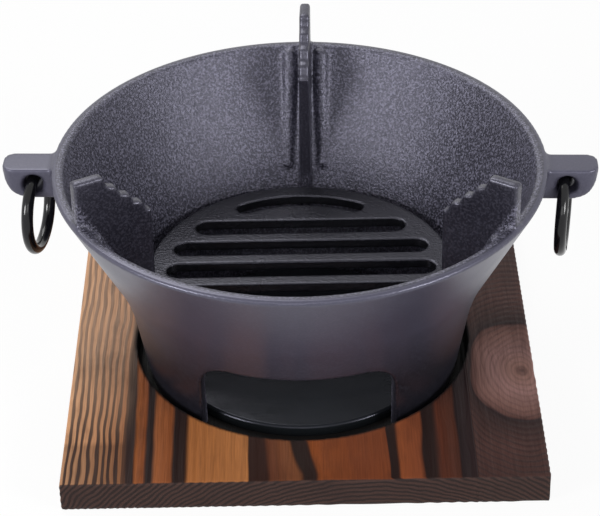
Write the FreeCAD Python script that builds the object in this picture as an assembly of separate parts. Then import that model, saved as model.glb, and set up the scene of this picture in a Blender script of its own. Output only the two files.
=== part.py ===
import FreeCAD, Part
import math
import os
from FreeCAD import Vector

# Table-top hibachi: a flared cast-iron fire bowl with three toothed pot supports and two lugs with
# hanging wire rings, a loose slotted grate, a loose ash plate, and a burnt-pine base of two glued
# planks. Millimetres, +Z up. The origin is under the middle of the base, on the face it stands on.

# Wooden base
BASE_SIDE = 239.0
BASE_THICKNESS = 16.0
BASE_EDGE_BREAK = 1.0
GLUE_LINE_X = 84.0            # the narrow plank is glued on at the right of this line
POCKET_PLAY = 5.8             # the round pocket is this much larger in radius than the bowl's foot
POCKET_DEPTH = 10.5

# Wall of the fire bowl, measured up from the edge it stands on
FOOT_RADIUS = 81.2
FOOT_DRAFT = 10.2             # degrees off vertical, below the knee
KNEE_HEIGHT = 53.1            # where the foot's slope meets the flare's, on the outside
RIM_RADIUS = 125.0
RIM_HEIGHT = 119.6
WALL = 5.6                    # square to the wall's face
KNEE_ROUND = 120.0            # outside, where the foot runs into the flare
RIM_BEVEL = 1.6               # of the rim's outer edge
BOWL_TURN = -2.2              # the bowl isn't keyed, and stands turned a little in its pocket

# Air and ash mouth in the front of the wall
VENT_WIDTH = 96.8             # at the wall's outside
VENT_SPLAY = 24.0             # degrees, of its sides, wider outside than inside
VENT_HEIGHT = 49.2
VENT_CORNER_ROUND = 17.0

# Pot supports: three upright plates, cast with the wall
SUPPORT_COUNT = 3
SUPPORT_THICKNESS = 5.6
SUPPORT_TOP_ROUND = 2.0       # of the outer top corner
SUPPORT_RISE = 24.2           # above the rim
SUPPORT_SETBACK = 2.8         # of the outer edge, in from the rim's outer edge
SUPPORT_FLAT = 14.9           # length of the level top that a pan stands on
SUPPORT_PROUD = 2.3           # of the upright inner edge, in from the wall at the grate's top
TOOTH_CREST = 4.5             # along the radius
TOOTH_RUN = 2.1               # of the riser between two crests
TOOTH_DROP = 6.25             # from one crest to the next
TOOTH_CREST_FALL = 1.3        # a crest leans in towards the fire
TOOTH_ROUND = 1.1
SHELF_LENGTH = 9.8            # each support steps in by this under the grate to carry it
SHELF_DEPTH = 4.0
SHELF_SLOPE = 45.0            # degrees, of the bracket under the shelf

# Low ridges that stiffen the wall on both sides of each support
RIDGE_RADIUS = 2.9
RIDGE_SPREAD_TOP = 8.0        # from the middle of the support
RIDGE_SPREAD_BOTTOM = 9.2
RIDGE_BELOW_RIM = 5.0
RIDGE_ABOVE_KNEE = 7.0
RIDGE_TIP = 2.5               # length of the tapered end
RIDGE_TIP_RADIUS = 1.0

# Lugs
LUG_REACH = 24.5              # beyond the rim
LUG_WIDTH = 17.5
LUG_BELOW_RIM = 1.6
LUG_HEIGHT = 16.3
LUG_LEAN = 2.5                # its end leans in, top to bottom
LUG_TOP_ROUND = 2.5
LUG_HEEL_ROUND = 11.0         # the big round under its end
LUG_TIP_ROUND = 7.0           # of its end, seen from above
LUG_EDGE_ROUND = 1.0
LUG_ROOT_INSIDE = 14.0        # how far its block runs in past the rim before it is trimmed to the wall
HOLE_FROM_END = 16.0
HOLE_BELOW_TOP = 8.2

# Ring handles, bent from round wire, with their ends left apart at the bottom
WIRE_RADIUS = 3.0
RING_RADIUS = 20.5            # to the middle of the wire
RING_PLAY = 1.4               # the hole's radius is larger than the wire's by this
MOUTH_PLAY = 0.4              # around the bent wire where it leaves the hole
RING_GAP = 8.0                # degrees between the two ends
RING_YAW = -7.0               # how the rings have settled in the play of their holes
LEFT_GAP_TURN = 220.0         # where the ends are, in degrees from the bottom, round towards the front
RIGHT_GAP_TURN = 20.0

# Grate
GRATE_PLAY = 3.8              # between its edge and the supports' upright inner edges
GRATE_THICKNESS = 5.5
GRATE_TOP = 53.5              # above the bowl's foot
BAR_WIDTH = 7.8               # between two straight slots
SLOT_COUNT = 5
GRATE_RIM = 9.4               # left outside the slots' round ends
ARC_SLOT_WIDTH = 9.0
ARC_SLOT_HALF_ANGLE = 27.0
GRATE_EDGE_BREAK = 0.9

# Ash plate
PLATE_PLAY = 3.5              # between its edge and the inside of the bowl's foot
PLATE_THICKNESS = 6.0
PLATE_EDGE_BREAK = 1.6

# Worked out from the sizes above
BOWL_BASE = BASE_THICKNESS - POCKET_DEPTH
GRATE_BOTTOM = GRATE_TOP - GRATE_THICKNESS
FLARE_SLOPE = ((RIM_RADIUS - FOOT_RADIUS - KNEE_HEIGHT * math.tan(math.radians(FOOT_DRAFT)))
               / (RIM_HEIGHT - KNEE_HEIGHT))
FLARE = math.degrees(math.atan(FLARE_SLOPE))
SUPPORT_TOP = RIM_HEIGHT + SUPPORT_RISE
SUPPORT_OUTER_RADIUS = RIM_RADIUS - SUPPORT_SETBACK
LUG_TOP = RIM_HEIGHT - LUG_BELOW_RIM
HOLE_CENTRE = Vector(RIM_RADIUS + LUG_REACH - HOLE_FROM_END, 0, LUG_TOP - HOLE_BELOW_TOP)
HOLE_RADIUS = WIRE_RADIUS + RING_PLAY
HOLE_MOUTH_DEPTH = LUG_WIDTH / 4
RING_SAG = RING_RADIUS - math.sqrt(RING_RADIUS ** 2 - (LUG_WIDTH / 2) ** 2)
RING_LIFT = RING_SAG / 3      # the ring hangs with its wire this far above the middle of the hole
CLEAR = 60.0                  # cutting tools run past the metal by this much
Z_AXIS = Vector(0, 0, 1)
Y_AXIS = Vector(0, 1, 0)
X_AXIS = Vector(1, 0, 0)


def tan(degrees):
    return math.tan(math.radians(degrees))


def cos(degrees):
    return math.cos(math.radians(degrees))


def sin(degrees):
    return math.sin(math.radians(degrees))


def rounded_wire(corners):
    """A closed outline through (point, radius) corners, with a tangent arc at each radius over 0."""
    edges = []
    ends = []
    for i, (corner, radius) in enumerate(corners):
        back = (corners[i - 1][0] - corner).normalize()
        ahead = (corners[(i + 1) % len(corners)][0] - corner).normalize()
        half = back.getAngle(ahead) / 2
        if radius == 0:
            ends.append((corner, corner))
            continue
        start = corner + back * (radius / math.tan(half))
        end = corner + ahead * (radius / math.tan(half))
        bisector = (back + ahead).normalize()
        middle = corner + bisector * (radius / math.sin(half) - radius)
        ends.append((start, end))
        edges.append((i, Part.Arc(start, middle, end).toShape()))
    arcs = dict(edges)
    path = []
    for i in range(len(corners)):
        if i in arcs:
            path.append(arcs[i])
        path.append(Part.makeLine(ends[i][1], ends[(i + 1) % len(corners)][0]))
    return Part.Wire(path)


def round_edges(solid, radius, chosen):
    """The solid with every edge that chosen(edge) accepts rounded."""
    return solid.makeFillet(radius, [edge for edge in solid.Edges if chosen(edge)])


def break_edges(solid, width, chosen):
    """The solid with every edge that chosen(edge) accepts bevelled."""
    return solid.makeChamfer(width, [edge for edge in solid.Edges if chosen(edge)])


def spin_about_z(shape, degrees):
    turned = shape.copy()
    turned.rotate(Vector(0, 0, 0), Z_AXIS, degrees)
    return turned


# The wall's section, as two straight lines displaced inwards from the outside face

def foot_line(height, inset):
    return FOOT_RADIUS + height * tan(FOOT_DRAFT) - inset / cos(FOOT_DRAFT)


def flare_line(height, inset):
    return RIM_RADIUS - (RIM_HEIGHT - height) * tan(FLARE) - inset / cos(FLARE)


def knee_point(inset):
    gap = foot_line(0, inset) - flare_line(0, inset)
    height = gap / (tan(FLARE) - tan(FOOT_DRAFT))
    return Vector(foot_line(height, inset), 0, height)


SUPPORT_INNER_RADIUS = foot_line(GRATE_TOP, WALL) - SUPPORT_PROUD
SHELF_INNER_RADIUS = SUPPORT_INNER_RADIUS - SHELF_LENGTH
GRATE_RADIUS = SUPPORT_INNER_RADIUS - GRATE_PLAY
SLOT_END_RADIUS = GRATE_RADIUS - GRATE_RIM
SLOT_PITCH = 2 * SLOT_END_RADIUS / (SLOT_COUNT + 2)
SLOT_WIDTH = SLOT_PITCH - BAR_WIDTH
PLATE_RADIUS = foot_line(0, WALL) - PLATE_PLAY
RIDGE_BOTTOM = knee_point(WALL).z + RIDGE_ABOVE_KNEE


def revolved(corners):
    return Part.Face(rounded_wire(corners)).revolve(Vector(0, 0, 0), Z_AXIS, 360)


def wall_ring():
    """The flared wall alone, open at the top and at the foot."""
    return revolved([
        (Vector(foot_line(0, 0), 0, 0), 0),
        (knee_point(0), KNEE_ROUND),
        (Vector(flare_line(RIM_HEIGHT - RIM_BEVEL, 0), 0, RIM_HEIGHT - RIM_BEVEL), 0),
        (Vector(RIM_RADIUS - RIM_BEVEL, 0, RIM_HEIGHT), 0),
        (Vector(flare_line(RIM_HEIGHT, WALL), 0, RIM_HEIGHT), 0),
        (knee_point(WALL), KNEE_ROUND + WALL),
        (Vector(foot_line(0, WALL), 0, 0), 0),
    ])


def wall_core(inset):
    """All the space inside the wall's face displaced by this inset."""
    top = RIM_HEIGHT + CLEAR
    return revolved([
        (Vector(0, 0, -CLEAR), 0),
        (Vector(foot_line(-CLEAR, inset), 0, -CLEAR), 0),
        (knee_point(inset), KNEE_ROUND + inset),
        (Vector(flare_line(top, inset), 0, top), 0),
        (Vector(0, 0, top), 0),
    ])


def lug():
    """One carrying lug on the +X side, bored for its ring, reaching half way into the wall."""
    root = RIM_RADIUS - LUG_ROOT_INSIDE
    tip = RIM_RADIUS + LUG_REACH
    bottom = LUG_TOP - LUG_HEIGHT
    half = LUG_WIDTH / 2
    side = rounded_wire([
        (Vector(root, half, LUG_TOP), 0),
        (Vector(tip, half, LUG_TOP), LUG_TOP_ROUND),
        (Vector(tip - LUG_LEAN, half, bottom), LUG_HEEL_ROUND),
        (Vector(root, half, bottom), 0),
    ])
    plan = rounded_wire([
        (Vector(root, -half, 0), 0),
        (Vector(tip, -half, 0), LUG_TIP_ROUND),
        (Vector(tip, half, 0), LUG_TIP_ROUND),
        (Vector(root, half, 0), 0),
    ])
    from_side = Part.Face(side).extrude(Y_AXIS * -LUG_WIDTH)
    from_above = Part.Face(plan).extrude(Z_AXIS * SUPPORT_TOP)
    block = from_side.common(from_above).removeSplitter()
    block = round_edges(block, LUG_EDGE_ROUND, lambda edge: edge.BoundBox.ZMin > LUG_TOP - LUG_TOP_ROUND - 1e-6
                        and edge.BoundBox.XMax > root + 1)
    return block.cut(wall_core(WALL / 2)).cut(lug_hole())


def mouth_radius():
    """Room at the end of the hole for the wire, which has bent down and aside by there."""
    half = LUG_WIDTH / 2
    offset = math.hypot(RING_SAG - RING_LIFT, half * tan(RING_YAW))
    slanted = WIRE_RADIUS / math.cos(math.asin(half / RING_RADIUS))
    return offset + slanted + MOUTH_PLAY


def lug_hole():
    """The bore along Y, opening out towards both ends as a cored hole does."""
    run = LUG_WIDTH + CLEAR
    bore = Part.makeCylinder(HOLE_RADIUS, run, HOLE_CENTRE - Y_AXIS * (run / 2), Y_AXIS)
    for way in (1, -1):
        inside = HOLE_CENTRE + Y_AXIS * (way * (LUG_WIDTH / 2 - HOLE_MOUTH_DEPTH))
        bore = bore.fuse(Part.makeCone(HOLE_RADIUS, mouth_radius(), HOLE_MOUTH_DEPTH, inside, Y_AXIS * way))
    return bore


def tooth_corners():
    """The stepped line from the inner end of a support's level top down to its inner edge."""
    first = SUPPORT_OUTER_RADIUS - SUPPORT_FLAT
    pitch = TOOTH_CREST + TOOTH_RUN
    last = math.floor((first - SUPPORT_INNER_RADIUS - TOOTH_RUN - TOOTH_CREST / 2) / pitch)
    corners = [(Vector(first, 0, SUPPORT_TOP), TOOTH_ROUND)]
    for number in range(last + 1):
        outer = first - TOOTH_RUN - number * pitch
        inner = SUPPORT_INNER_RADIUS if number == last else outer - TOOTH_CREST
        height = SUPPORT_TOP - (number + 1) * TOOTH_DROP
        fall = TOOTH_CREST_FALL * (outer - inner) / TOOTH_CREST
        corners.append((Vector(outer, 0, height), TOOTH_ROUND))
        corners.append((Vector(inner, 0, height - fall), TOOTH_ROUND))
    return corners


def pot_support():
    """One support plate in the XZ plane on the +X side, buried half way into the wall."""
    shelf_foot = GRATE_BOTTOM - SHELF_DEPTH
    bracket_foot = shelf_foot - (SUPPORT_OUTER_RADIUS - SHELF_INNER_RADIUS) * tan(SHELF_SLOPE)
    corners = [(Vector(SUPPORT_OUTER_RADIUS, 0, SUPPORT_TOP), SUPPORT_TOP_ROUND)] + tooth_corners() + [
        (Vector(SUPPORT_INNER_RADIUS, 0, GRATE_BOTTOM), TOOTH_ROUND),
        (Vector(SHELF_INNER_RADIUS, 0, GRATE_BOTTOM), TOOTH_ROUND),
        (Vector(SHELF_INNER_RADIUS, 0, shelf_foot), TOOTH_ROUND),
        (Vector(SUPPORT_OUTER_RADIUS, 0, bracket_foot), TOOTH_ROUND),
    ]
    plate = Part.Face(rounded_wire(corners)).extrude(Y_AXIS * SUPPORT_THICKNESS)
    plate.translate(Y_AXIS * (-SUPPORT_THICKNESS / 2))
    return plate.common(wall_core(WALL / 2))


def support_ridges():
    """The two half-round ridges on the wall beside a support on the +X side."""
    top = RIM_HEIGHT - RIDGE_BELOW_RIM
    ridges = []
    for way in (1, -1):
        upper = Vector(flare_line(top, WALL), way * RIDGE_SPREAD_TOP, top)
        lower = Vector(flare_line(RIDGE_BOTTOM, WALL), way * RIDGE_SPREAD_BOTTOM, RIDGE_BOTTOM)
        along = lower - upper
        ridge = Part.makeCylinder(RIDGE_RADIUS, along.Length, upper, along)
        tips = [Part.makeCone(RIDGE_RADIUS, RIDGE_TIP_RADIUS, RIDGE_TIP, upper, along * -1),
                Part.makeCone(RIDGE_RADIUS, RIDGE_TIP_RADIUS, RIDGE_TIP, lower, along)]
        ridges.append(ridge.fuse(tips))
    return ridges


def vent_cutter():
    """The block that opens the front of the wall from the foot up, its sides leaning out with the wall."""
    half = VENT_WIDTH / 2
    front = math.sqrt(FOOT_RADIUS ** 2 - half ** 2)
    lean = Vector(0, -tan(FOOT_DRAFT) * FOOT_RADIUS / front, 1)
    near = FOOT_RADIUS / 2
    narrow = half - (front - near) * tan(VENT_SPLAY)
    wide = half + (RIM_RADIUS - front) * tan(VENT_SPLAY)
    outline = Part.makePolygon([Vector(-narrow, -near, 0), Vector(-wide, -RIM_RADIUS, 0),
                                Vector(wide, -RIM_RADIUS, 0), Vector(narrow, -near, 0), Vector(-narrow, -near, 0)])
    block = Part.Face(outline).extrude(lean * (VENT_HEIGHT + CLEAR))
    block.translate(lean * -CLEAR)

    def top_side(edge):
        box = edge.BoundBox
        return box.ZLength < 1e-6 and box.ZMax > 0 and box.YLength > 1

    return round_edges(block, VENT_CORNER_ROUND, top_side)


def fire_bowl():
    lugs = [spin_about_z(lug(), turn) for turn in (0, 180)]
    supports = []
    for number in range(SUPPORT_COUNT):
        turn = 90 + number * 360 / SUPPORT_COUNT
        supports += [spin_about_z(piece, turn) for piece in [pot_support()] + support_ridges()]
    shell = wall_ring().cut(vent_cutter())
    return shell.fuse(lugs + supports).removeSplitter()


def ring_handle():
    """A wire ring in the YZ plane, its middle at the origin, its ends apart at the bottom."""
    section = Part.Circle(Vector(0, 0, -RING_RADIUS), Y_AXIS, WIRE_RADIUS)
    end = Part.Face(Part.Wire(section.toShape()))
    ring = end.revolve(Vector(0, 0, 0), X_AXIS, 360 - RING_GAP)
    ring.rotate(Vector(0, 0, 0), X_AXIS, RING_GAP / 2)
    return ring


def hung_ring(side, gap_turn):
    """A ring hanging in the lug that stands at this angle about the bowl's axis."""
    ring = ring_handle()
    ring.rotate(Vector(0, 0, 0), X_AXIS, -gap_turn)
    ring.rotate(Vector(0, 0, 0), Z_AXIS, RING_YAW)
    ring.translate(Z_AXIS * (RING_LIFT - RING_RADIUS))
    hung = spin_about_z(ring, -side)
    hung.translate(HOLE_CENTRE)
    return spin_about_z(hung, side)


def straight_slot(row):
    """A slot along X, its round ends on the slots' common circle."""
    radius = SLOT_WIDTH / 2
    across = row * SLOT_PITCH
    reach = math.sqrt((SLOT_END_RADIUS - radius) ** 2 - across ** 2)
    low = GRATE_BOTTOM - CLEAR
    box = Part.makeBox(2 * reach, SLOT_WIDTH, 2 * CLEAR, Vector(-reach, across - radius, low))
    ends = [Part.makeCylinder(radius, 2 * CLEAR, Vector(end, across, low)) for end in (-reach, reach)]
    return box.fuse(ends).removeSplitter()


def arc_slot(turn):
    """A slot that follows the grate's edge, centred at this angle."""
    radius = ARC_SLOT_WIDTH / 2
    middle = SLOT_END_RADIUS - radius
    sweep = 2 * ARC_SLOT_HALF_ANGLE
    low = GRATE_BOTTOM - CLEAR
    sector = Part.makeCylinder(middle + radius, 2 * CLEAR, Vector(0, 0, low), Z_AXIS, sweep)
    sector = sector.cut(Part.makeCylinder(middle - radius, 2 * CLEAR, Vector(0, 0, low)))
    ends = [Part.makeCylinder(radius, 2 * CLEAR, Vector(middle * cos(end), middle * sin(end), low))
            for end in (0, sweep)]
    return spin_about_z(sector.fuse(ends).removeSplitter(), turn - ARC_SLOT_HALF_ANGLE)


def fire_grate():
    disc = Part.makeCylinder(GRATE_RADIUS, GRATE_THICKNESS, Vector(0, 0, GRATE_BOTTOM))
    rows = range(-(SLOT_COUNT // 2), SLOT_COUNT // 2 + 1)
    disc = disc.cut([straight_slot(row) for row in rows] + [arc_slot(90), arc_slot(270)])

    def on_top(edge):
        return edge.BoundBox.ZMin > GRATE_TOP - 1e-6

    return break_edges(disc, GRATE_EDGE_BREAK, on_top)


def ash_plate():
    disc = Part.makeCylinder(PLATE_RADIUS, PLATE_THICKNESS)
    return break_edges(disc, PLATE_EDGE_BREAK, lambda edge: edge.BoundBox.ZMin > PLATE_THICKNESS / 2)


def base_planks():
    """The two planks, cut from one squared, edged and pocketed block at the glue line."""
    half = BASE_SIDE / 2
    block = Part.makeBox(BASE_SIDE, BASE_SIDE, BASE_THICKNESS, Vector(-half, -half, 0))
    block = break_edges(block, BASE_EDGE_BREAK, lambda edge: True)
    pocket = Part.makeCylinder(FOOT_RADIUS + POCKET_PLAY, POCKET_DEPTH, Vector(0, 0, BOWL_BASE))
    block = block.cut(pocket)
    left = Part.makeBox(half + GLUE_LINE_X, BASE_SIDE, BASE_THICKNESS, Vector(-half, -half, 0))
    return block.common(left), block.cut(left)


def in_the_base(shape, turn):
    """A piece modelled from the bowl's foot, set down in the pocket and turned there."""
    placed = spin_about_z(shape, turn)
    placed.translate(Z_AXIS * BOWL_BASE)
    return placed


def main():
    wide_plank, edge_plank = base_planks()
    pieces = {
        "base_wide_plank": wide_plank,
        "base_edge_plank": edge_plank,
        "fire_bowl": in_the_base(fire_bowl(), BOWL_TURN),
        "ring_handle_left": in_the_base(hung_ring(180, LEFT_GAP_TURN), BOWL_TURN),
        "ring_handle_right": in_the_base(hung_ring(0, RIGHT_GAP_TURN), BOWL_TURN),
        "fire_grate": in_the_base(fire_grate(), 0),
        "ash_plate": in_the_base(ash_plate(), 0),
    }
    os.makedirs("parts", exist_ok=True)
    for name, shape in pieces.items():
        solids = shape.Solids
        if len(solids) != 1 or not shape.isValid():
            print("check", name, len(solids), "solids, valid:", shape.isValid())
        solids[0].exportStep("parts/" + name + ".step")
        print(name, round(solids[0].Volume / 1000, 2), "cm3")


main()
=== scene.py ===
import math
import bpy
import bmesh
from mathutils import Matrix, Vector, noise


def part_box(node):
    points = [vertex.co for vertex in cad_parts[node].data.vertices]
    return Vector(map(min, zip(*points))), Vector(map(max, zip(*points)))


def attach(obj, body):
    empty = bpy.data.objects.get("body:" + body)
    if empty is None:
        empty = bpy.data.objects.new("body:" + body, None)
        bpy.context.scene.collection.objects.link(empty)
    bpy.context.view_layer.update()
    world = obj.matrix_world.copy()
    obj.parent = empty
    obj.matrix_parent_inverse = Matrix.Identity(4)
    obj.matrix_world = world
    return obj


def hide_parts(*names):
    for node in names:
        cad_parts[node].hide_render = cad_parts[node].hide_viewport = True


# Table-top hibachi: a sand-cast fire bowl with a loose grate and ash plate, wire ring handles,
# and a burnt and brushed pine base. Sizes are in metres, angles in degrees. The bowl, the grate and the
# plate are each made at height 0 and then lifted to their place.

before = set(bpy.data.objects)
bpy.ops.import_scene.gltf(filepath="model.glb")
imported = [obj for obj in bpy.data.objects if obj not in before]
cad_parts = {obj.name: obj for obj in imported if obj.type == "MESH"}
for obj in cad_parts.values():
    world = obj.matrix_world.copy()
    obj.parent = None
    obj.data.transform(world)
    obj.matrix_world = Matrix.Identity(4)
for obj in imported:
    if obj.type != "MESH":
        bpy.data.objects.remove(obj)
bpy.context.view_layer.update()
print("loaded", len(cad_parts), "CAD nodes")

tiny = 1e-5                    # tolerance when points and edges are picked by their place


def tanD(degrees):
    return math.tan(math.radians(degrees))


def cosD(degrees):
    return math.cos(math.radians(degrees))


def sinD(degrees):
    return math.sin(math.radians(degrees))


def rotation(degrees, axis="Z"):
    return Matrix.Rotation(math.radians(degrees), 4, axis)


def pickOnly(*pieces):
    # leaves edit mode and selects just these pieces, the first one active; with none, all are deselected
    if bpy.context.object and bpy.context.object.mode == "EDIT":
        bpy.ops.object.mode_set(mode="OBJECT")
    bpy.ops.object.select_all(action="DESELECT")
    for piece in pieces:
        piece.select_set(True)
    if pieces:
        bpy.context.view_layer.objects.active = pieces[0]


def select(kind, test):
    # edit mode: picks verts by their place, or edges by their middle and their run from end to end
    bpy.ops.mesh.select_mode(type={"verts": "VERT", "edges": "EDGE"}[kind])
    bpy.ops.mesh.select_all(action="DESELECT")
    mesh = bmesh.from_edit_mesh(bpy.context.object.data)
    for item in getattr(mesh, kind):
        if kind == "verts":
            wanted = test(item.co)
        else:
            start, end = (vertex.co for vertex in item.verts)
            wanted = test((start + end) / 2, end - start)
        if wanted:
            item.select_set(True)
    mesh.select_flush_mode()
    bmesh.update_edit_mesh(bpy.context.object.data)


def finishPlace(piece, name):
    # leaves edit mode and puts the object's place into its mesh
    pickOnly(piece)
    bpy.ops.object.transform_apply(location=True, rotation=True, scale=True)
    piece.name = name
    piece.data.name = name
    return piece


def modify(piece, kind, **settings):
    pickOnly(piece)
    modifier = piece.modifiers.new(kind.lower(), kind)
    for key, value in settings.items():
        setattr(modifier, key, value)
    bpy.ops.object.modifier_apply(modifier=modifier.name)


def carve(piece, tool, operation="DIFFERENCE"):
    modify(piece, "BOOLEAN", object=tool, operation=operation, solver="EXACT")
    bpy.data.objects.remove(tool)


def lathe(name, stations, sides):
    # a closed ring of loops from (radius, height) stations, the last joined to the first
    pickOnly()
    radius, height = stations[0]
    bpy.ops.mesh.primitive_circle_add(vertices=sides, radius=radius, fill_type="NOTHING",
                                      location=(0, 0, height))
    piece = bpy.context.object
    bpy.ops.object.mode_set(mode="EDIT")
    bpy.ops.mesh.select_all(action="SELECT")
    for nextRadius, nextHeight in stations[1:] + stations[:1]:
        bpy.ops.mesh.extrude_edges_move(TRANSFORM_OT_translate={"value": (0, 0, nextHeight - height)})
        scale = nextRadius / radius
        bpy.ops.transform.resize(value=(scale, scale, 1), center_override=(0, 0, nextHeight))
        radius, height = nextRadius, nextHeight
    bpy.ops.mesh.select_all(action="SELECT")
    bpy.ops.mesh.remove_doubles(threshold=1e-6)
    bpy.ops.mesh.normals_make_consistent(inside=False)
    return finishPlace(piece, name)


def outlinePlate(name, corners, thickness):
    # a flat plate in the XZ plane: a single point is drawn from corner to corner, filled, and pulled along Y
    seed = 0.001
    pickOnly()
    bpy.ops.mesh.primitive_plane_add(size=seed)
    piece = bpy.context.object
    bpy.ops.object.mode_set(mode="EDIT")
    select("verts", lambda co: co.x > 0 or co.y > 0)
    bpy.ops.mesh.delete(type="VERT")
    bpy.ops.mesh.select_all(action="SELECT")
    points = [Vector((x, -thickness / 2, z)) for x, z in corners]
    bpy.ops.transform.translate(value=points[0] + Vector((seed / 2, seed / 2, 0)))
    for here, there in zip(points, points[1:]):
        bpy.ops.mesh.extrude_vertices_move(TRANSFORM_OT_translate={"value": there - here})
    bpy.ops.mesh.select_all(action="SELECT")
    bpy.ops.mesh.edge_face_add()
    bpy.ops.mesh.extrude_region_move(TRANSFORM_OT_translate={"value": (0, thickness, 0)})
    bpy.ops.mesh.select_all(action="SELECT")
    bpy.ops.mesh.normals_make_consistent(inside=False)
    return finishPlace(piece, name)


def smoothByAngle(piece, degrees):
    pickOnly(piece)
    bpy.ops.object.shade_smooth_by_angle(angle=math.radians(degrees))


# fire bowl, one sand casting: flared wall with a vent, pot supports, ridges and lugs

bowl = {
    "foot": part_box("fire_bowl")[0].z,
    "turn": -2.2,              # degrees, as it stands in its pocket
    "footRadius": 0.0812, "footDraft": 10.2,
    "rimRadius": 0.125, "rimHeight": 0.1196, "flare": 27.25,
    "wall": 0.0056, "kneeRound": 0.12,
    "rimBevel": 0.0016,
    "sides": 384, "steps": 30,
    "grain": 0.0010,           # voxel of the casting's skin
    "softPasses": 5,
}


def wallRadius(height, inset):
    # the wall's face displaced inwards: a straight foot, a knee arc and a straight flare
    draft, flare = bowl["footDraft"], bowl["flare"]
    kneeHeight = (bowl["footRadius"] - bowl["rimRadius"] + bowl["rimHeight"] * tanD(flare)
                  - inset / cosD(draft) + inset / cosD(flare)) / (tanD(flare) - tanD(draft))
    kneeRadius = bowl["footRadius"] + kneeHeight * tanD(draft) - inset / cosD(draft)
    bend = bowl["kneeRound"] + inset
    run = bend * tanD((flare - draft) / 2)
    low = kneeHeight - run * cosD(draft)
    high = kneeHeight + run * cosD(flare)
    if height < low:
        return kneeRadius - (kneeHeight - height) * tanD(draft)
    if height > high:
        return kneeRadius + (height - kneeHeight) * tanD(flare)
    centreHeight = low - bend * sinD(draft)
    centreRadius = kneeRadius - run * sinD(draft) + bend * cosD(draft)
    return centreRadius - math.sqrt(bend ** 2 - (height - centreHeight) ** 2)


def bowlWall():
    top, bevel = bowl["rimHeight"], bowl["rimBevel"]
    heights = [i / bowl["steps"] for i in range(bowl["steps"] + 1)]
    outside = [(wallRadius(h * (top - bevel), 0), h * (top - bevel)) for h in heights]
    inside = [(wallRadius(h * top, bowl["wall"]), h * top) for h in reversed(heights)]
    return lathe("bowl_wall", outside + [(bowl["rimRadius"] - bevel, top)] + inside, bowl["sides"])


vent = {"halfWidth": 0.0484, "splay": 24.0, "height": 0.0492, "corner": 0.017, "cornerSteps": 14,
        "near": 0.0406, "below": 0.02}


def ventCutter():
    # a block open below, splayed outwards and leaning out with the foot, its two long top edges rounded
    near, far, below = vent["near"], bowl["rimRadius"], vent["below"]
    front = math.sqrt(bowl["footRadius"] ** 2 - vent["halfWidth"] ** 2)
    narrow = vent["halfWidth"] - (front - near) * tanD(vent["splay"])
    wide = vent["halfWidth"] + (far - front) * tanD(vent["splay"])
    lean = tanD(bowl["footDraft"]) * bowl["footRadius"] / front
    pickOnly()
    bpy.ops.mesh.primitive_cube_add(size=1, location=(0, -(near + far) / 2, (vent["height"] - below) / 2),
                                    scale=(2 * wide, far - near, vent["height"] + below))
    cutter = finishPlace(bpy.context.object, "vent_cutter")
    bpy.ops.object.mode_set(mode="EDIT")
    select("verts", lambda co: co.y > -near - tiny)
    bpy.ops.transform.resize(value=(narrow / wide, 1, 1), center_override=(0, 0, 0))
    select("verts", lambda co: co.z > 0)
    bpy.ops.transform.translate(value=(0, -lean * vent["height"], 0))
    select("verts", lambda co: co.z < 0)
    bpy.ops.transform.translate(value=(0, lean * below, 0))
    select("edges", lambda middle, along: middle.z > vent["height"] / 2 and abs(along.y) > (far - near) / 2)
    bpy.ops.mesh.bevel(offset=vent["corner"], offset_type="OFFSET", segments=vent["cornerSteps"],
                       affect="EDGES")
    bpy.ops.mesh.select_all(action="SELECT")
    bpy.ops.mesh.normals_make_consistent(inside=False)
    return finishPlace(cutter, "vent_cutter")


support = {
    "count": 3, "thickness": 0.0056,
    "rise": 0.0242, "setback": 0.0028, "flat": 0.0149,
    "innerRadius": 0.08284,
    "teeth": 4, "crest": 0.0045, "run": 0.0021, "drop": 0.00625, "crestFall": 0.0013,
    "shelfRadius": 0.07304, "shelfDepth": 0.004, "shelfSlope": 45.0,
    "seat": 0.048,             # the shelf's top, where the grate lies, above the bowl's foot
    "wallSteps": 12,
}


def potSupport():
    # the outline runs down the teeth to the shelf, back under it to the wall, and up inside the wall
    top = bowl["rimHeight"] + support["rise"]
    outer = bowl["rimRadius"] - support["setback"]
    seat = support["seat"]
    depth = bowl["wall"] / 2
    radius = outer - support["flat"]
    corners = [(outer, top), (radius, top)]
    for number in range(support["teeth"]):
        radius -= support["run"]
        height = top - (number + 1) * support["drop"]
        inner = max(radius - support["crest"], support["innerRadius"])
        fall = support["crestFall"] * (radius - inner) / support["crest"]
        corners += [(radius, height), (inner, height - fall)]
        radius = inner
    shelfFoot = seat - support["shelfDepth"]
    slope = wallRadius(shelfFoot, depth) - support["shelfRadius"]
    bracket = shelfFoot - slope * tanD(support["shelfSlope"])
    corners += [(support["innerRadius"], seat), (support["shelfRadius"], seat),
                (support["shelfRadius"], shelfFoot)]
    wallTop = bowl["rimHeight"] - bowl["wall"]
    for i in range(support["wallSteps"] + 1):
        height = bracket + (wallTop - bracket) * i / support["wallSteps"]
        corners.append((wallRadius(height, depth), height))
    corners.append((outer, bowl["rimHeight"] - depth))
    return outlinePlate("pot_support", corners, support["thickness"])


ridge = {"radius": 0.0044, "taper": 0.55, "spreadTop": 0.0083, "spreadBottom": 0.0094,
         "belowRim": 0.0052, "bottom": 0.062, "sides": 20, "rings": 11}


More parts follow.
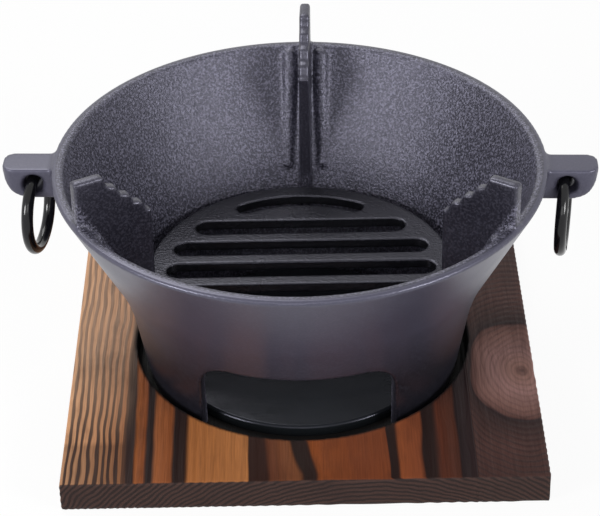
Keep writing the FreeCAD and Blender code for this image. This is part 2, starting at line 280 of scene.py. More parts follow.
def supportRidge(side):
    # a half-round rib with domed ends: a ball whose lower half is drawn down the wall and made smaller
    top = bowl["rimHeight"] - ridge["belowRim"]
    upper = Vector((wallRadius(top, bowl["wall"]), side * ridge["spreadTop"], top))
    lower = Vector((wallRadius(ridge["bottom"], bowl["wall"]), side * ridge["spreadBottom"], ridge["bottom"]))
    pickOnly()
    bpy.ops.mesh.primitive_uv_sphere_add(segments=ridge["sides"], ring_count=ridge["rings"],
                                         radius=ridge["radius"], location=upper)
    rib = finishPlace(bpy.context.object, "support_ridge")
    bpy.ops.object.mode_set(mode="EDIT")
    select("verts", lambda co: co.z < upper.z)
    bpy.ops.transform.translate(value=lower - upper)
    bpy.ops.transform.resize(value=(ridge["taper"],) * 3, center_override=lower)
    return finishPlace(rib, "support_ridge")


lug = {
    "root": 0.004,             # how far it starts inside the rim's edge
    "reach": 0.0245, "width": 0.0175, "belowRim": 0.0016, "height": 0.0163, "lean": 0.0025,
    "heel": 0.011, "tip": 0.007, "roundSteps": 10,
    "holeRadius": 0.0045, "mouthRadius": 0.0054, "mouthDepth": 0.0044,
    "holeFromEnd": 0.016, "holeBelowTop": 0.0082, "holeSides": 48,
    "past": 0.01,              # how far the cutters run out of it
}


def carryingLug():
    root, tip = bowl["rimRadius"] - lug["root"], bowl["rimRadius"] + lug["reach"]
    top = bowl["rimHeight"] - lug["belowRim"]
    bottom, past = top - lug["height"], lug["past"]
    middle = Vector(((root + tip) / 2, 0, (top + bottom) / 2))

    # a wide block takes the shape seen from the side: its root follows the wall, its end leans and has a heel
    pickOnly()
    bpy.ops.mesh.primitive_cube_add(size=1, location=middle,
                                    scale=(tip - root, lug["width"] + 2 * past, lug["height"]))
    ear = finishPlace(bpy.context.object, "carrying_lug")
    bpy.ops.object.mode_set(mode="EDIT")
    select("verts", lambda co: co.x < middle.x and co.z < middle.z)
    bpy.ops.transform.translate(value=(wallRadius(bottom, bowl["wall"] / 2) - root, 0, 0))
    select("verts", lambda co: co.x > middle.x and co.z < middle.z)
    bpy.ops.transform.translate(value=(-lug["lean"], 0, 0))
    select("edges", lambda place, along: place.x > middle.x + lug["lean"] and place.z < bottom + tiny
           and abs(along.y) > lug["width"] / 2)
    bpy.ops.mesh.bevel(offset=lug["heel"], offset_type="OFFSET", segments=lug["roundSteps"], affect="EDGES")
    finishPlace(ear, "carrying_lug")

    # a high block has the shape seen from above, its end's two corners rounded; the lug is what both share
    pickOnly()
    bpy.ops.mesh.primitive_cube_add(size=1, location=middle - Vector((past, 0, 0)),
                                    scale=(tip - root + 2 * past, lug["width"], lug["height"] + 2 * past))
    rounder = finishPlace(bpy.context.object, "lug_plan")
    bpy.ops.object.mode_set(mode="EDIT")
    select("edges", lambda place, along: place.x > tip - tiny and abs(along.z) > lug["height"] / 2)
    bpy.ops.mesh.bevel(offset=lug["tip"], offset_type="OFFSET", segments=lug["roundSteps"], affect="EDGES")
    carve(ear, finishPlace(rounder, "lug_plan"), "INTERSECT")

    # the hole is drilled, and its two mouths widened with cones
    hole = Vector((tip - lug["holeFromEnd"], 0, top - lug["holeBelowTop"]))
    pickOnly()
    bpy.ops.mesh.primitive_cylinder_add(vertices=lug["holeSides"], radius=lug["holeRadius"],
                                        depth=lug["width"] + 2 * past, location=hole,
                                        rotation=(math.pi / 2, 0, 0))
    carve(ear, finishPlace(bpy.context.object, "hole_drill"))
    slope = (lug["mouthRadius"] - lug["holeRadius"]) / lug["mouthDepth"]
    outwards = (lug["width"] - lug["mouthDepth"] + past) / 2
    for way in (1, -1):
        pickOnly()
        bpy.ops.mesh.primitive_cone_add(
            vertices=lug["holeSides"], radius1=lug["mouthRadius"] + slope * past, radius2=lug["holeRadius"],
            depth=lug["mouthDepth"] + past, location=hole + Vector((0, way * outwards, 0)),
            rotation=(way * math.pi / 2, 0, 0))
        carve(ear, finishPlace(bpy.context.object, "mouth_cone"))
    return ear


def castSkin(piece, grain, passes, mostTriangles=190000):
    # the soft corners of sand casting
    modify(piece, "REMESH", mode="VOXEL", voxel_size=grain, use_smooth_shade=True)
    modify(piece, "SMOOTH", factor=0.5, iterations=passes)
    triangles = 2 * len(piece.data.polygons)
    if triangles > mostTriangles:
        modify(piece, "DECIMATE", ratio=mostTriangles / triangles)


def castBowl():
    wall = bowlWall()
    carve(wall, ventCutter())
    pieces = [wall]
    for turn in (0, 180):
        ear = carryingLug()
        ear.data.transform(rotation(turn))
        pieces.append(ear)
    for number in range(support["count"]):
        for part in (potSupport(), supportRidge(1), supportRidge(-1)):
            part.data.transform(rotation(90 + number * 360 / support["count"]))
            pieces.append(part)
    pickOnly(*pieces)
    bpy.ops.object.join()
    casting = finishPlace(wall, "cast_fire_bowl")
    castSkin(casting, bowl["grain"], bowl["softPasses"])
    casting.data.transform(Matrix.Translation((0, 0, bowl["foot"])) @ rotation(bowl["turn"]))
    return casting


print("casting the fire bowl")
fireBowl = castBowl()
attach(fireBowl, "furnace")
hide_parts("fire_bowl")


# loose grate: a flat cast disc with five straight slots and a curved one in front and behind

grate = {
    "radius": 0.07904, "thickness": 0.0055, "bottom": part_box("fire_grate")[0].z,
    "rim": 0.0094, "bar": 0.0078, "slots": 5, "arcWidth": 0.009, "arcHalfAngle": 27.0,
    "sides": 192, "grain": 0.00085, "softPasses": 4,
}


def arcPoints(x, z, radius, start, end, steps):
    angles = [start + (end - start) * i / steps for i in range(steps + 1)]
    return [(x + radius * cosD(a), z + radius * sinD(a)) for a in angles]


def cutSlot(disc, corners):
    slot = outlinePlate("grate_slot", corners, 4 * grate["thickness"])
    slot.data.transform(rotation(-90, "X"))
    carve(disc, slot)


def castGrate():
    pickOnly()
    bpy.ops.mesh.primitive_cylinder_add(vertices=grate["sides"], radius=grate["radius"],
                                        depth=grate["thickness"])
    disc = finishPlace(bpy.context.object, "cast_fire_grate")
    reachAll = grate["radius"] - grate["rim"]
    pitch = 2 * reachAll / (grate["slots"] + 2)
    half = (pitch - grate["bar"]) / 2
    for row in range(grate["slots"]):
        across = (row - (grate["slots"] - 1) / 2) * pitch
        reach = math.sqrt((reachAll - half) ** 2 - across ** 2)
        cutSlot(disc, arcPoints(reach, across, half, -90, 90, 16)
                + arcPoints(-reach, across, half, 90, 270, 16))
    half = grate["arcWidth"] / 2
    middle, spread = reachAll - half, grate["arcHalfAngle"]
    for turn in (90, 270):
        low, high = turn - spread, turn + spread
        cutSlot(disc, arcPoints(0, 0, middle + half, low, high, 24)
                + arcPoints(middle * cosD(high), middle * sinD(high), half, high, high + 180, 12)[1:]
                + arcPoints(0, 0, middle - half, high, low, 24)[1:]
                + arcPoints(middle * cosD(low), middle * sinD(low), half, low + 180, low + 360, 12)[1:-1])
    castSkin(disc, grate["grain"], grate["softPasses"])
    disc.data.transform(Matrix.Translation((0, 0, grate["bottom"] + grate["thickness"] / 2)))
    return disc


print("casting the grate")
fireGrate = castGrate()
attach(fireGrate, "grate")
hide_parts("fire_grate")


# loose ash plate under the grate, its top edge rounded

ashPlate = {"radius": 0.07201, "thickness": 0.006, "topRound": 0.0020, "bottomRound": 0.0006,
            "bottom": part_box("ash_plate")[0].z, "sides": 160}


def turnedPlate():
    radius, top = ashPlate["radius"], ashPlate["thickness"]
    soft, under, pole = ashPlate["topRound"], ashPlate["bottomRound"], 1e-7
    stations = [(pole, 0), (radius / 2, 0)]
    stations += arcPoints(radius - under, under, under, -90, 0, 3)
    stations += arcPoints(radius - soft, top - soft, soft, 0, 90, 8)
    stations += [(radius * 0.7, top), (radius * 0.35, top), (pole, top)]
    plate = lathe("cast_ash_plate", stations, ashPlate["sides"])
    plate.data.transform(Matrix.Translation((0, 0, ashPlate["bottom"])))
    smoothByAngle(plate, 40)
    return plate


print("casting the ash plate")
ashDisc = turnedPlate()
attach(ashDisc, "ash_disc")
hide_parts("ash_plate")


# ring handles, bent from round wire; the two ends pass by each other a little

wireRing = {"radius": 0.0205, "wire": 0.003, "gap": 8.0, "spread": 0.0003, "yaw": -8.5, "lift": 0.000652,
            "endRound": 0.0008, "sides": 28, "steps": 132}


def bentRing(name, side, gapTurn):
    pickOnly()
    bpy.ops.mesh.primitive_circle_add(vertices=wireRing["sides"], radius=wireRing["wire"],
                                      fill_type="NOTHING", location=(0, 0, -wireRing["radius"]),
                                      rotation=(math.pi / 2, 0, 0))
    ring = finishPlace(bpy.context.object, name)
    bpy.ops.object.mode_set(mode="EDIT")
    bpy.ops.mesh.select_all(action="SELECT")
    bpy.ops.mesh.spin(steps=wireRing["steps"], angle=math.radians(360 - wireRing["gap"]), center=(0, 0, 0),
                      axis=(1, 0, 0))
    bpy.ops.mesh.select_all(action="SELECT")
    bpy.ops.mesh.remove_doubles(threshold=1e-6)
    bpy.ops.mesh.fill_holes(sides=wireRing["sides"])
    bpy.ops.mesh.select_all(action="SELECT")
    bpy.ops.mesh.normals_make_consistent(inside=False)
    finishPlace(ring, name)
    middle = sum((vertex.co for vertex in ring.data.vertices), Vector())
    ring.data.transform(Matrix.Rotation(math.atan2(middle.y, middle.z), 4, "X"))
    for vertex in ring.data.vertices:
        # from one end of the wire round to the other it shifts aside a little
        angle = math.degrees(math.atan2(-vertex.co.y, -vertex.co.z)) % 360
        vertex.co.x += wireRing["spread"] * (angle / 360 - 0.5)
    modify(ring, "BEVEL", width=wireRing["endRound"], segments=3, limit_method="ANGLE",
           angle_limit=math.radians(60))
    hole = Vector((bowl["rimRadius"] + lug["reach"] - lug["holeFromEnd"], 0,
                   bowl["rimHeight"] - lug["belowRim"] - lug["holeBelowTop"]))
    hung = (Matrix.Translation((0, 0, wireRing["lift"] - wireRing["radius"])) @ rotation(wireRing["yaw"])
            @ rotation(-gapTurn, "X"))
    ring.data.transform(Matrix.Translation((0, 0, bowl["foot"])) @ rotation(bowl["turn"] + side)
                        @ Matrix.Translation(hole) @ rotation(-side) @ hung)
    smoothByAngle(ring, 50)
    return ring


print("bending the rings")
rings = []
for ringName, ringNode, ringBody, side, gapTurn in (
        ("wire_ring_left", "ring_handle_left", "ring_left", 180, 220.0),
        ("wire_ring_right", "ring_handle_right", "ring_right", 0, 20.0)):
    wire = bentRing(ringName, side, gapTurn)
    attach(wire, ringBody)
    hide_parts(ringNode)
    rings.append(wire)


# base: two glued planks, burnt and then brushed, so that the hard rings stand proud of the soft wood

base = {
    "side": 0.239, "thickness": 0.016, "glueLine": 0.084,
    "pocketRadius": 0.087, "pocketSides": 256, "pocketFloor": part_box("fire_bowl")[0].z,
    "plainEdge": 0.001,        # how far round the pocket the brush didn't reach
    "grain": 0.0012, "softPasses": 2,
    "past": 0.004,             # how far a plank runs past the glue line before it is cut there
    "relief": 0.00050,         # how deep the brush has worn the soft wood
    "ringPitch": 0.00245, "pithX": 0.0326, "pithDepth": 0.110,
    # in the relief the rings stray by "stray", and the brush bites unevenly; both patterns per metre
    "stray": 0.0012, "strayAcross": 30, "strayAlong": 8, "biteAcross": 90, "biteAlong": 20,
    "knot": (0.1114, -0.034), "knotStretch": 1.8,
}


def ringDepth(x, y, z):
    # distance from the middle of the rings: under the wide plank, and round the knot in the narrow one
    if x < base["glueLine"]:
        return math.hypot(x - base["pithX"], z + base["pithDepth"])
    knotX, knotY = base["knot"]
    return math.hypot(x - knotX, (y - knotY) / base["knotStretch"])


def brushedPlank(name, low, high):
    # the block runs on past the glue line while its edges are softened, and is cut there afterwards
    thick, seam = base["thickness"], base["glueLine"]
    isLeft = high == seam
    low, high = (low, high + base["past"]) if isLeft else (low - base["past"], high)
    pickOnly()
    bpy.ops.mesh.primitive_cube_add(size=1, location=((low + high) / 2, 0, thick / 2),
                                    scale=(high - low, base["side"], thick))
    plank = finishPlace(bpy.context.object, name)
    pickOnly()
    bpy.ops.mesh.primitive_cylinder_add(vertices=base["pocketSides"], radius=base["pocketRadius"],
                                        depth=2 * thick, location=(0, 0, base["pocketFloor"] + thick))
    carve(plank, finishPlace(bpy.context.object, "pocket_cutter"))
    modify(plank, "REMESH", mode="VOXEL", voxel_size=base["grain"], use_smooth_shade=True)
    modify(plank, "SMOOTH", factor=0.5, iterations=base["softPasses"])
    bpy.ops.object.mode_set(mode="EDIT")
    bpy.ops.mesh.select_all(action="SELECT")
    bpy.ops.mesh.bisect(plane_co=(seam, 0, 0), plane_no=(1, 0, 0), use_fill=True,
                        clear_outer=isLeft, clear_inner=not isLeft)
    finishPlace(plank, name)
    # the normals are copied first, because they change as the points move
    normals = [vertex.normal.copy() for vertex in plank.data.vertices]
    wide, long = base["strayAcross"], base["strayAlong"]
    for vertex, normal in zip(plank.data.vertices, normals):
        x, y, z = vertex.co
        if math.hypot(x, y) < base["pocketRadius"] + base["plainEdge"] or abs(x - seam) < tiny:
            continue
        depth = ringDepth(x, y, z) + base["stray"] * noise.noise(Vector((x * wide, y * long, z * wide)))
        soft = 0.5 + 0.5 * math.sin(depth * 2 * math.pi / base["ringPitch"])
        bite = 0.6 + 0.4 * noise.noise(Vector((x * base["biteAcross"], y * base["biteAlong"], 5)))
        vertex.co -= normal * base["relief"] * soft * bite
    return plank


print("cutting the planks")
planks = []
for plankName, plankNode, low, high in (
        ("burnt_wide_plank", "base_wide_plank", -base["side"] / 2, base["glueLine"]),
        ("burnt_edge_plank", "base_edge_plank", base["glueLine"], base["side"] / 2)):
    board = brushedPlank(plankName, low, high)
    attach(board, "base")
    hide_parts(plankNode)
    planks.append(board)


# materials

def srgb(hexColour):
    parts = [int(hexColour[i:i + 2], 16) / 255 for i in (1, 3, 5)]
    return [p / 12.92 if p <= 0.04045 else ((p + 0.055) / 1.055) ** 2.4 for p in parts] + [1.0]


def newMaterial(name):
    material = bpy.data.materials.new(name)
    material.use_nodes = True
    material.node_tree.nodes.clear()
    return material, material.node_tree


def addNode(tree, kind, inputs=(), out=0, stops=(), **settings):
    # inputs go by number or name: a value is set on its socket, another node's output is linked to it
    node = tree.nodes.new("ShaderNode" + kind)
    for key, value in settings.items():
        setattr(node, key, value)
    for key, value in inputs.items() if isinstance(inputs, dict) else enumerate(inputs):
        if isinstance(value, bpy.types.NodeSocket):
            tree.links.new(value, node.inputs[key])
        else:
            node.inputs[key].default_value = value
    for number, (position, colour) in enumerate(stops):
        if number > 1:
            node.color_ramp.elements.new(position)
        node.color_ramp.elements[number].position = position
        node.color_ramp.elements[number].color = srgb(colour)
    return node.outputs[out] if node.outputs else node


def paint(piece, material):
    piece.data.materials.clear()
    piece.data.materials.append(material)


def insideWall(tree, place):
    # 1 on the fire side of the bowl's wall and 0 outside; little on the supports, which stand out from it
    x, y, z = addNode(tree, "SeparateXYZ", [place]).node.outputs
    flat = addNode(tree, "CombineXYZ", [x, y])
    out = addNode(tree, "VectorMath", [flat], "Value", operation="LENGTH")
    height = addNode(tree, "Math", [z, bowl["foot"]], operation="SUBTRACT")
    half, flare = bowl["wall"] / 2, bowl["flare"]
    footStart = bowl["footRadius"] - half
    flareStart = bowl["rimRadius"] - bowl["rimHeight"] * tanD(flare) - half / cosD(flare)
    footLine = addNode(tree, "Math", [height, tanD(bowl["footDraft"]), footStart], operation="MULTIPLY_ADD")
    flareLine = addNode(tree, "Math", [height, tanD(flare), flareStart], operation="MULTIPLY_ADD")
    middle = addNode(tree, "Math", [footLine, flareLine], operation="MAXIMUM")
    inward = addNode(tree, "Math", [middle, out], operation="SUBTRACT")
    past = addNode(tree, "MapRange", [inward, -0.0002, 0.0012])
    nearWall = addNode(tree, "MapRange", [inward, 0.0065, 0.0085, 1.0, 0.12])
    return addNode(tree, "Math", [past, nearWall], operation="MULTIPLY")


# Iron cast in sand and blackened. The mould's sand, with grains of some 0.3 mm, leaves a skin of pebbles
# like orange peel, four to six grains wide, which is "pebble", with grit of a third of that. Each pebble
# catches a glint, and these glints are also painted on as a pale colour on the pebble tops. The blackening
# is a coat over the metal, so the iron shines as a coat does, a little unevenly from place to place.
# "smooth" is how much of the pebble is left where it was rubbed down.
ironLooks = {
    "sand_cast_iron_blackened": {
        "pebble": 0.0012, "bump": 1.0, "depth": 0.0004, "smooth": 0.10, "glintShare": 0.38,
        "dark": "#15141b", "mid": "#1e1d25", "glintColour": "#9a98ae", "gloss": 0.31, "specular": 0.95,
        # the bowl's fire side is coarse; outside, painted shade darkens the foot and painted light makes the
        # flare paler
        "foot": "#131218", "flare": "#363542", "footHeight": 0.040, "flareHeight": 0.080},
    "sand_cast_iron_oiled_grate": {
        "pebble": 0.0016, "bump": 0.8, "depth": 0.0007, "smooth": 0.5, "glintShare": 0.4,
        "dark": "#0e0e11", "mid": "#17171a", "glintColour": "#33343a", "gloss": 0.22, "specular": 0.62},
    "cast_iron_oiled_plate": {
        "pebble": 0.0018, "bump": 0.5, "depth": 0.0005, "smooth": 0.3, "glintShare": 0.3,
        "dark": "#101214", "mid": "#171a1d", "glintColour": "#1e2124", "gloss": 0.20, "specular": 0.30},
}
ironCloud = 0.035              # size of the uneven patches in the blackening
ironTint = "#d9d8ee"           # the coat's reflections are a little blue


def castIron(name):
    look = ironLooks[name]
    material, tree = newMaterial(name)
    place = addNode(tree, "TexCoord", out="Object")
    pebble = addNode(tree, "TexNoise", {"Vector": place, "Scale": 1 / look["pebble"], "Roughness": 0.6})
    grit = addNode(tree, "TexNoise", {"Vector": place, "Scale": 3 / look["pebble"], "Roughness": 0.6})
    cloud = addNode(tree, "TexNoise", {"Vector": place, "Scale": 1 / ironCloud, "Detail": 3.0})
    tone = addNode(tree, "Mix", {0: cloud, 6: srgb(look["dark"]), 7: srgb(look["mid"])}, 2, data_type="RGBA")
    rough = look["smooth"]
    if "foot" in look:
        fireSide = insideWall(tree, place)
        rough = addNode(tree, "MapRange", [fireSide, 0.0, 1.0, look["smooth"], 1.0])
        # outside the bowl: painted shade, darker towards the foot, and painted light, paler up the flare
        height = addNode(tree, "SeparateXYZ", [place], "Z")
        rise = addNode(tree, "MapRange", [height, look["footHeight"], look["flareHeight"]])
        outer = addNode(tree, "Mix", {0: rise, 6: srgb(look["foot"]), 7: srgb(look["flare"])}, 2,
                        data_type="RGBA")
        inner = addNode(tree, "MapRange", [fireSide, 0.0, 0.12])
        tone = addNode(tree, "Mix", {0: inner, 6: outer, 7: tone}, 2, data_type="RGBA")
    # painted glints: a pale colour laid on the tops of the pebbles, beside the real ones from the bump
    peaks = addNode(tree, "MapRange", [pebble, 0.46, 0.64])
    glintSpots = addNode(tree, "Math", [peaks, rough], operation="MULTIPLY")
    glintShare = addNode(tree, "Math", [glintSpots, look["glintShare"]], operation="MULTIPLY")
    tone = addNode(tree, "Mix", {0: glintShare, 6: tone, 7: srgb(look["glintColour"])}, 2, data_type="RGBA")
    skin = addNode(tree, "Math", [grit, 0.3, pebble], operation="MULTIPLY_ADD")
    skin = addNode(tree, "Math", [skin, rough], operation="MULTIPLY")
    normal = addNode(tree, "Bump", {"Strength": look["bump"], "Distance": look["depth"], "Height": skin})
    gloss = addNode(tree, "MapRange", [cloud, 0.3, 0.7, look["gloss"], look["gloss"] + 0.08])
    surface = addNode(tree, "BsdfPrincipled", {
        "Base Color": tone, "Roughness": gloss, "Normal": normal,
        "Specular IOR Level": look["specular"], "Specular Tint": srgb(ironTint)})
    addNode(tree, "OutputMaterial", {"Surface": surface})
    return material


def lacqueredWire():
    # drawn steel wire dipped in black lacquer: smooth and wet-looking, with thin bright lines along it;
    # the lacquer pulls into slight ripples as it dries
    rippleLength = 0.004
    material, tree = newMaterial("black_lacquered_steel_wire")
    place = addNode(tree, "TexCoord", out="Object")
    ripple = addNode(tree, "TexNoise", {"Vector": place, "Scale": 1 / rippleLength})
    tone = addNode(tree, "Mix", {0: ripple, 6: srgb("#08080a"), 7: srgb("#121216")}, 2, data_type="RGBA")
    normal = addNode(tree, "Bump", {"Strength": 0.15, "Distance": 0.0003, "Height": ripple})
    surface = addNode(tree, "BsdfPrincipled", {"Base Color": tone, "Roughness": 0.13, "Normal": normal,
                                               "Specular IOR Level": 0.35})
    addNode(tree, "OutputMaterial", {"Surface": surface})
    return material


# millimetres across the top of the wide plank, with the colour there: burnt hard rings, brushed soft wood
grainBands = [
    (-119.5, "#d09a70"), (-90.0, "#9a6440"), (-88.8, "#241412"), (-85.2, "#201210"), (-84.2, "#925228"),
    (-79.4, "#824624"), (-78.6, "#1a0e0c"), (-75.3, "#1c0f0c"), (-74.4, "#985831"), (-66.0, "#864a26"),
    (-64.8, "#1a0d0a"), (-58.6, "#24120c"), (-56.6, "#a86838"), (-27.3, "#b57544"), (-26.8, "#2c1812"),
    (-18.0, "#2c160f"), (-15.8, "#5c321f"), (-3.0, "#7a482b"), (-0.8, "#1e110d"), (7.4, "#22120e"),
    (9.4, "#88461f"), (35.6, "#733a1f"), (37.0, "#1a0d0a"), (43.8, "#200f0a"), (45.6, "#8c4a28"),
    (56.4, "#7e4226"), (57.6, "#1c0e0b"), (64.6, "#20100c"), (66.4, "#562a1a"), (75.6, "#472417"),
    (76.6, "#1a0f10"), (84.0, "#241516")]

# the narrow plank, by distance from the middle of its knot; 1 is "knotReach"
knotBands = [
    (0.0, "#4a302c"), (0.05, "#8e6a60"), (0.16, "#94706a"), (0.30, "#7c5a52"), (0.365, "#5e403a"),
    (0.385, "#1e1012"), (0.42, "#30201e"), (0.60, "#4c322d"), (1.0, "#38231f")]

pine = {
    # slow bends of the rings, and quick ones in radians of a ring
    "swaySize": 0.03, "sway": 0.007, "knotSway": 0.022, "knotStray": 0.012, "driftSize": 0.012, "drift": 9.0,
    "sootSize": 0.018, "fibreSize": 0.0007,
    "lean": 0.008,             # how far the middle bands are shifted aside behind the front edge
    "leftEdge": (-0.084, -0.092),    # left of this the torch went lightly and the fine rings show
    "knotReach": 0.06,
    "line": "#22120f", "pale": "#cfa98c", "strip": "#2e1a12", "knotLine": "#2c1c1c",
    "endSoft": "#3a2722", "endHard": "#140b0b", "soot": "#241614", "fibre": "#1e1210", "pocketCharAndShade": "#0c0a0a",
}


def burntPine():
    # pine scorched with a torch and brushed: near-black hard rings, orange soft wood, fine fibres along
    # the plank, end grain almost black, the pocket scorched all over and darkened further as painted shade.
    # Its fibres are about 0.05 mm wide, too fine to show, and are drawn 0.7 mm wide
    material, tree = newMaterial("torched_brushed_pine")
    place = addNode(tree, "TexCoord", out="Object")
    x, y, z = addNode(tree, "SeparateXYZ", [place]).node.outputs

    # bends of the rings, drawn out along the plank
    drawnOut = addNode(tree, "Mapping", {"Vector": place, "Scale": (1.0, 0.35, 1.0)})
    sway = addNode(tree, "TexNoise", {"Vector": drawnOut, "Scale": 1 / pine["swaySize"]})
    sway = addNode(tree, "Math", [sway, 0.5], operation="SUBTRACT")
    drawnOut = addNode(tree, "Mapping", {"Vector": place, "Scale": (1.0, 0.25, 1.0)})
    drift = addNode(tree, "TexNoise", {"Vector": drawnOut, "Scale": 1 / pine["driftSize"]})
    drift = addNode(tree, "Math", [drift, pine["drift"]], operation="MULTIPLY")

    def ringLines(distance, low, high):
        # the fine rings, one for each ring pitch: 1 on the hard wood
        turns = addNode(tree, "Math", [distance, base["ringPitch"] / (2 * math.pi)], operation="DIVIDE")
        bent = addNode(tree, "Math", [turns, drift], operation="ADD")
        wave = addNode(tree, "Math", [bent], operation="SINE")
        return addNode(tree, "MapRange", [wave, low, high])

    # where a point's ring meets the top of the wide plank, which gives its band
    fromMiddle = addNode(tree, "Math", [x], operation="ABSOLUTE")
    middleBands = addNode(tree, "MapRange", [fromMiddle, 0.026, 0.006])
    front = addNode(tree, "MapRange", [y, -0.114, -0.082, 0.0, pine["lean"]])
    lean = addNode(tree, "Math", [middleBands, front], operation="MULTIPLY")
    leant = addNode(tree, "Math", [x, lean], operation="ADD")
    swayed = addNode(tree, "Math", [sway, pine["sway"], leant], operation="MULTIPLY_ADD")
    across = addNode(tree, "Math", [swayed, base["pithX"]], operation="SUBTRACT")
    high = addNode(tree, "Math", [z, base["pithDepth"]], operation="ADD")
    highSquare = addNode(tree, "Math", [high, high], operation="MULTIPLY")
    ringSquare = addNode(tree, "Math", [across, across, highSquare], operation="MULTIPLY_ADD")
    ringRadius = addNode(tree, "Math", [ringSquare], operation="SQRT")
    topSquare = (base["thickness"] + base["pithDepth"]) ** 2
    spare = addNode(tree, "Math", [ringSquare, topSquare], operation="SUBTRACT")
    spare = addNode(tree, "Math", [spare, 0.0], operation="MAXIMUM")
    onTop = addNode(tree, "Math", [spare], operation="SQRT")
    way = addNode(tree, "Math", [across], operation="SIGN")
    surface = addNode(tree, "Math", [onTop, way, base["pithX"]], operation="MULTIPLY_ADD")
    start, end = grainBands[0][0] / 1000, grainBands[-1][0] / 1000
    along = addNode(tree, "MapRange", [surface, start, end])
    wide = addNode(tree, "ValToRGB", [along],
                   stops=[((mm / 1000 - start) / (end - start), colour) for mm, colour in grainBands])

    # the fine rings are strong near the left edge and on the end grain
    lines = ringLines(ringRadius, -0.35, 0.45)
    leftZone = addNode(tree, "MapRange", [surface, *pine["leftEdge"]])
    strength = addNode(tree, "MapRange", [leftZone, 0.0, 1.0, 0.08, 0.95])
    strength = addNode(tree, "Math", [lines, strength], operation="MULTIPLY")
    wide = addNode(tree, "Mix", {0: strength, 6: wide, 7: srgb(pine["line"])}, 2, data_type="RGBA")
    # paler towards the back there, and a darker strip along the front
    for near, far, most, shade in ((-0.09, -0.01, 0.45, "pale"), (-0.086, -0.090, 0.42, "strip")):
        amount = addNode(tree, "MapRange", [y, near, far, 0.0, most])
        amount = addNode(tree, "Math", [leftZone, amount], operation="MULTIPLY")
        wide = addNode(tree, "Mix", {0: amount, 6: wide, 7: srgb(pine[shade])}, 2, data_type="RGBA")

    # the narrow plank's rings run round its knot
    knotX, knotY = base["knot"]
    knotSwayed = addNode(tree, "Math", [sway, pine["knotSway"], x], operation="MULTIPLY_ADD")
    aside = addNode(tree, "Math", [knotSwayed, knotX], operation="SUBTRACT")
    ahead = addNode(tree, "Math", [y, knotY], operation="SUBTRACT")
    ahead = addNode(tree, "Math", [ahead, base["knotStretch"]], operation="DIVIDE")
    flat = addNode(tree, "CombineXYZ", [aside, ahead])
    knotRing = addNode(tree, "VectorMath", [flat], "Value", operation="LENGTH")
    strayed = addNode(tree, "Math", [sway, pine["knotStray"], knotRing], operation="MULTIPLY_ADD")
    knotLines = ringLines(strayed, 0.0, 0.9)
    along = addNode(tree, "MapRange", [knotRing, 0.0, pine["knotReach"]])
    narrow = addNode(tree, "ValToRGB", [along], stops=knotBands)
    strength = addNode(tree, "MapRange", [knotRing, 0.020, 0.026, 0.22, 0.6])
    strength = addNode(tree, "Math", [knotLines, strength], operation="MULTIPLY")
    narrow = addNode(tree, "Mix", {0: strength, 6: narrow, 7: srgb(pine["knotLine"])}, 2, data_type="RGBA")
    pastGlue = addNode(tree, "Math", [x, base["glueLine"]], operation="GREATER_THAN")
    tone = addNode(tree, "Mix", {0: pastGlue, 6: wide, 7: narrow}, 2, data_type="RGBA")

    # end grain
    edge = base["side"] / 2
    fromSide = addNode(tree, "Math", [y], operation="ABSOLUTE")
    endFace = addNode(tree, "MapRange", [fromSide, edge - 0.0013, edge - 0.0006])
    strength = addNode(tree, "Math", [lines, 0.8], operation="MULTIPLY")
    endTone = addNode(tree, "Mix", {0: strength, 6: srgb(pine["endSoft"]), 7: srgb(pine["endHard"])}, 2,
                      data_type="RGBA")
    tone = addNode(tree, "Mix", {0: endFace, 6: tone, 7: endTone}, 2, data_type="RGBA")

    # patches of soot, fibres along the plank, and the pocket, scorched and darkened further as painted shade
    drawnOut = addNode(tree, "Mapping", {"Vector": place, "Scale": (1.0, 0.4, 1.0)})
    soot = addNode(tree, "TexNoise", {"Vector": drawnOut, "Scale": 1 / pine["sootSize"], "Detail": 4.0,
                                      "Roughness": 0.6})
    drawnOut = addNode(tree, "Mapping", {"Vector": place, "Scale": (1.0, 0.03, 1.0)})
    fibre = addNode(tree, "TexNoise", {"Vector": drawnOut, "Scale": 1 / pine["fibreSize"], "Roughness": 0.6})
    sooty = addNode(tree, "MapRange", [soot, 0.52, 0.78, 0.0, 0.45])
    stringy = addNode(tree, "MapRange", [fibre, 0.40, 0.75, 0.0, 0.30])
    flat = addNode(tree, "CombineXYZ", [x, y])
    out = addNode(tree, "VectorMath", [flat], "Value", operation="LENGTH")
    # the pocket and a thin band round its edge go near-black: real scorch, and painted shade in the recess
    pocket = base["pocketRadius"]
    charredAndShadedPocket = addNode(tree, "MapRange", [out, pocket + 0.0022, pocket + 0.0002])
    for amount, shade in ((sooty, "soot"), (stringy, "fibre"), (charredAndShadedPocket, "pocketCharAndShade")):
        tone = addNode(tree, "Mix", {0: amount, 6: tone, 7: srgb(pine[shade])}, 2, data_type="RGBA")

    halfLines = addNode(tree, "Math", [lines, 0.5], operation="MULTIPLY")
    height = addNode(tree, "Math", [fibre, 0.5, halfLines], operation="MULTIPLY_ADD")
    normal = addNode(tree, "Bump", {"Strength": 0.5, "Distance": 0.0004, "Height": height})
    rough = addNode(tree, "MapRange", [fibre, 0.3, 0.7, 0.52, 0.70])
    surface = addNode(tree, "BsdfPrincipled", {"Base Color": tone, "Roughness": rough, "Normal": normal,
                                               "Specular IOR Level": 0.22})
    addNode(tree, "OutputMaterial", {"Surface": surface})
    return material


print("painting")
paint(fireBowl, castIron("sand_cast_iron_blackened"))
paint(fireGrate, castIron("sand_cast_iron_oiled_grate"))
paint(ashDisc, castIron("cast_iron_oiled_plate"))
lacquer = lacqueredWire()
for wire in rings:
    paint(wire, lacquer)
torched = burntPine()
for board in planks:
    paint(board, torched)


# studio: a white table under a soft key from behind, a softbox at each side and a weak fill in front

studio = {"floor": 6.0, "paper": "#ededed", "whiteness": 0.93, "room": 0.27}

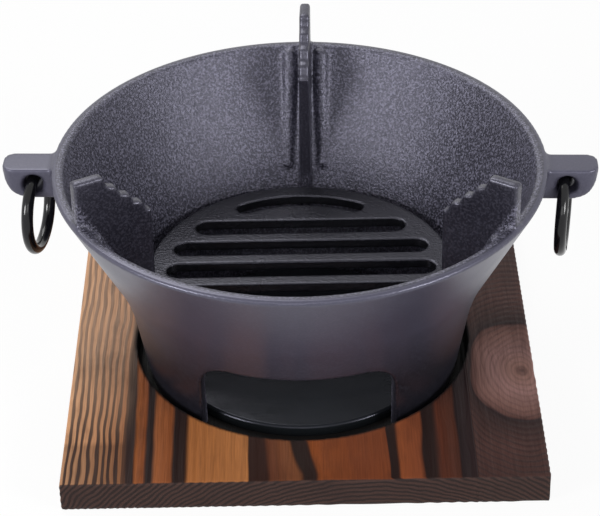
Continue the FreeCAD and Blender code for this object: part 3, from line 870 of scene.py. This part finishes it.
softboxes = {
    "key_softbox": {"place": (-0.35, 0.55, 1.0), "aim": (0, 0, 0.06), "size": (0.7, 0.6), "watts": 6.0},
    "left_softbox": {"place": (-1.0, -0.74, 0.55), "aim": (0, 0, 0.08), "size": (0.4, 0.4), "watts": 11.0},
    "right_softbox": {"place": (1.0, -0.74, 0.55), "aim": (0, 0, 0.08), "size": (0.4, 0.4), "watts": 9.5},
    "front_fill": {"place": (0.0, -1.4, 0.9), "aim": (0, 0, 0.06), "size": (0.9, 0.6), "watts": 3.5},
}

camera = {"lens": 132.08, "sensor": 36.0, "place": (-0.0009, -0.9396, 0.7036),
          "pitch": 34.186, "yaw": 0.022, "roll": -1.029}


def seenDirectly(tree):
    # 1 where the camera, or a mirror or glass, sees the surface; 0 where it only lights the object
    rays = addNode(tree, "LightPath").node.outputs
    seen = addNode(tree, "Math", [rays["Is Camera Ray"], rays["Is Glossy Ray"]], operation="MAXIMUM")
    return addNode(tree, "Math", [seen, rays["Is Transmission Ray"]], operation="MAXIMUM")


def buildFloor():
    pickOnly()
    bpy.ops.mesh.primitive_plane_add(size=studio["floor"], location=(0, 0, 0))
    floor = bpy.context.object
    floor.name = "studio_floor"
    material, tree = newMaterial("white_paper_floor")
    amount = addNode(tree, "Math", [seenDirectly(tree), studio["whiteness"]], operation="MULTIPLY")
    paper = addNode(tree, "BsdfDiffuse", {"Color": srgb(studio["paper"])})
    glow = addNode(tree, "Emission", {"Color": (1, 1, 1, 1), "Strength": 1.0})
    addNode(tree, "OutputMaterial", [addNode(tree, "MixShader", [amount, paper, glow])])
    paint(floor, material)


def buildWorld():
    world = bpy.data.worlds.new("studio_world")
    bpy.context.scene.world = world
    world.use_nodes = True
    tree = world.node_tree
    tree.nodes.clear()
    room = addNode(tree, "Background", {"Color": (1, 1, 1, 1), "Strength": studio["room"]})
    white = addNode(tree, "Background", {"Color": (1, 1, 1, 1), "Strength": 1.0})
    addNode(tree, "OutputWorld", [addNode(tree, "MixShader", [seenDirectly(tree), room, white])])


def buildLamps():
    for name, box in softboxes.items():
        data = bpy.data.lights.new(name, "AREA")
        data.shape = "RECTANGLE"
        data.size, data.size_y = box["size"]
        data.energy = box["watts"]
        lamp = bpy.data.objects.new(name, data)
        bpy.context.scene.collection.objects.link(lamp)
        lamp.location = box["place"]
        lamp.rotation_euler = (Vector(box["aim"]) - lamp.location).to_track_quat("-Z", "Y").to_euler()


def buildCamera():
    data = bpy.data.cameras.new("view_camera")
    data.lens = camera["lens"]
    data.sensor_width = camera["sensor"]
    data.clip_start = 0.01
    eye = bpy.data.objects.new("view_camera", data)
    bpy.context.scene.collection.objects.link(eye)
    # a camera looks down its own -Z: stood up, tipped to the pitch, swung to the yaw, and rolled
    turn = rotation(-camera["yaw"]) @ rotation(90 - camera["pitch"], "X") @ rotation(camera["roll"])
    eye.matrix_world = Matrix.Translation(camera["place"]) @ turn
    bpy.context.scene.camera = eye


print("setting up the studio")
buildFloor()
buildWorld()
buildLamps()
buildCamera()

bpy.context.scene.view_settings.view_transform = "Standard"

print("scene ready")
